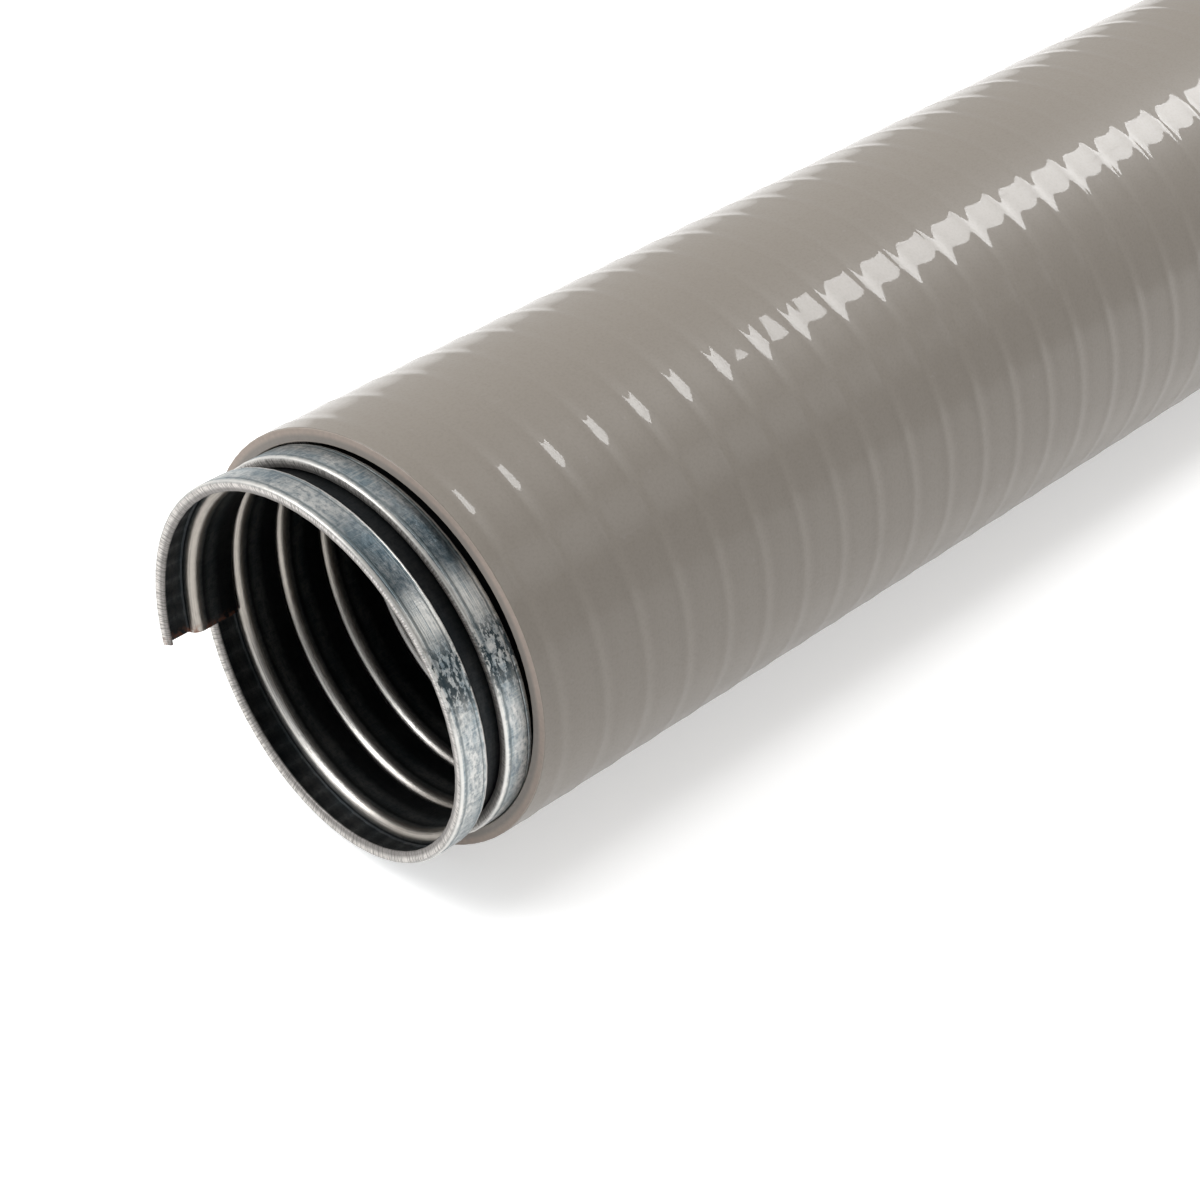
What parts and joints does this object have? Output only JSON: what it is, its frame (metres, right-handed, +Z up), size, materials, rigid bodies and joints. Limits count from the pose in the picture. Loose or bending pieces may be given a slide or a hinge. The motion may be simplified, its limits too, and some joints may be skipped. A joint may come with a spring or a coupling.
{
  "type": "flexible metal conduit",
  "caption": "Short length of liquid-tight flexible metal conduit: an interlocked steel strip core in a smooth grey PVC jacket, its front end trimmed back to bare steel.",
  "frame": {"origin": "on the conduit's centre line, where the jacket's front cut crosses it", "axes": "+X along the conduit's centre line, into the jacket; +Z up as it lies on the floor"},
  "size_m": [0.3189, 0.06, 0.06],
  "materials": {
    "jacket_pvc": "glossy extruded PVC, warm grey",
    "galvanized_steel": "hot-dip galvanized strip with rolling streaks"
  },
  "bodies": {
    "root": {"jacket": "jacket_pvc", "steel_strip": "galvanized_steel"}
  },
  "joints": []
}
